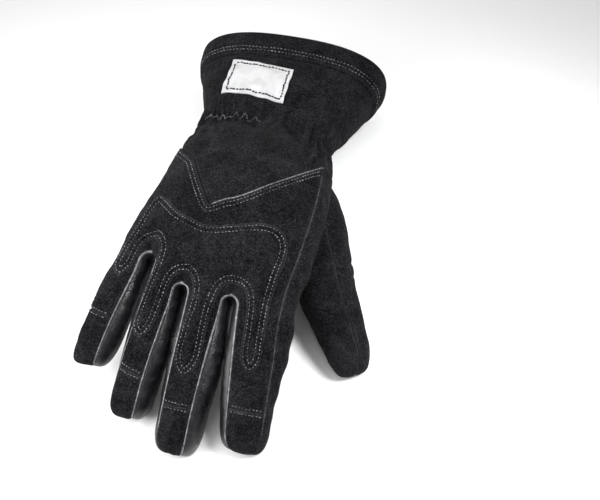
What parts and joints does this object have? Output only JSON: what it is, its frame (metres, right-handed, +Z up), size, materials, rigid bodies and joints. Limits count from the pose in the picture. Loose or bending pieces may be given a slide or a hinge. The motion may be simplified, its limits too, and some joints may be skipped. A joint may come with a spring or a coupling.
{
  "type": "leather work glove",
  "caption": "Right-hand leather work glove lying palm down, with an open flared cuff, a stitched knuckle cover and a bare label.",
  "frame": {"origin": "bottom centre of the glove's box, on the surface it lies on", "axes": "+Y along the hand towards the cuff, +Z up out of the back of the hand, +X towards the thumb"},
  "size_m": [0.1722, 0.3016, 0.0766],
  "materials": {
    "suede": "black suede with a fine nap, light grey thread",
    "smooth_leather": "smooth black grain leather, slightly glossy",
    "label_cloth": "white woven label, bare"
  },
  "bodies": {
    "root": {"cuff_hem": "suede", "cuff": "suede", "back_panel": "suede", "palm_panel": "suede", "side_gusset": "suede", "forchette_little_ring": "smooth_leather", "forchette_ring_middle": "smooth_leather", "forchette_middle_index": "smooth_leather", "thumb_inner": "suede", "thumb_outer": "suede", "knuckle_guard": "suede", "palm_patch": "suede", "label": "label_cloth", "tip_little": "suede", "tip_ring": "suede", "tip_middle": "suede", "tip_index": "suede"}
  },
  "joints": []
}
